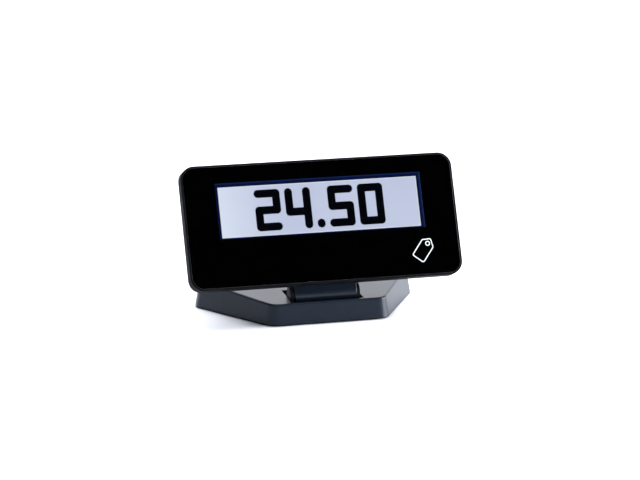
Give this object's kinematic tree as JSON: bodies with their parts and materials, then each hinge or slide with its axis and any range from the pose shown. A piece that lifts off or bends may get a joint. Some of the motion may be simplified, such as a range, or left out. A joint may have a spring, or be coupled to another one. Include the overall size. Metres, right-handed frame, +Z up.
{
  "type": "customer display",
  "caption": "Slim desk-top customer display: an LCD head behind a flush black lens tilts on a friction hinge set in a low weighted six-sided base.",
  "frame": {"origin": "on the desk, at the middle of the six-sided base's footprint", "axes": "+Z up, -Y towards the shopper the screen faces, +X to the right as the shopper looks at the screen"},
  "size_m": [0.148, 0.103, 0.0825],
  "materials": {
    "clear_acrylic": "clear polished sheet, hard coated",
    "black_print": "opaque black screen print behind the lens",
    "slate_black_abs": "fine spark texture with a soft sheen",
    "lcd_glass": "two bonded glass sheets",
    "polarizing_film": "blue negative polarizing film",
    "frosted_acrylic": "frosted light guide",
    "white_film": "white reflecting film",
    "lamp_board": "white lamp board",
    "tinned_steel": "stamped and tinned",
    "amber_flex": "amber film with copper tracks",
    "green_board": "solder mask over glass laminate",
    "chip_black": "moulded package",
    "ceramic_tan": "tin ended ceramic blocks",
    "ivory_nylon": "moulded connector body",
    "zinc_black_steel": "black zinc plated screws",
    "spring_steel": "hardened and oiled",
    "ground_steel": "ground pin stock",
    "black_acetal": "black acetal sheet",
    "black_bracket_steel": "pressed steel, black e-coat",
    "mild_steel": "zinc plated ballast plate",
    "black_abs": "moulded, black, fine texture",
    "black_rubber": "moulded, matte"
  },
  "bodies": {
    "base": {"base_cover": "slate_black_abs", "base_plate": "black_abs", "ballast_plate": "mild_steel", "rubber_feet": "black_rubber", "base_screws": "zinc_black_steel", "left_hinge_bracket": "black_bracket_steel", "right_hinge_bracket": "black_bracket_steel", "bracket_screws": "zinc_black_steel", "hinge_shaft": "ground_steel", "shaft_retainer": "spring_steel", "hinge_washers": "black_acetal"},
    "head": {"backlight_reflector": "white_film", "backlight_strip": "lamp_board", "board_capacitors": "ceramic_tan", "board_crystal": "tinned_steel", "board_screws": "zinc_black_steel", "case_screws": "zinc_black_steel", "controller_chip": "chip_black", "display_board": "green_board", "flex_connector": "ivory_nylon", "friction_sleeves": "spring_steel", "front_bezel": "slate_black_abs", "front_lens": "clear_acrylic", "lcd_cell": "lcd_glass", "lcd_flex": "amber_flex", "lcd_frame": "tinned_steel", "lcd_polarizer": "polarizing_film", "lens_mask": "black_print", "light_guide": "frosted_acrylic", "neck_body": "slate_black_abs", "neck_cover": "slate_black_abs", "neck_screws": "zinc_black_steel", "rear_cover": "slate_black_abs", "usb_socket": "tinned_steel", "voltage_regulator": "chip_black"}
  },
  "joints": [
    {"name": "head_tilt", "type": "hinge", "parent": "base", "child": "head", "pos_m": [0, -0.039, 0.0135], "axis": [-1, 0, 0], "range_deg": [-15, 35]}
  ]
}
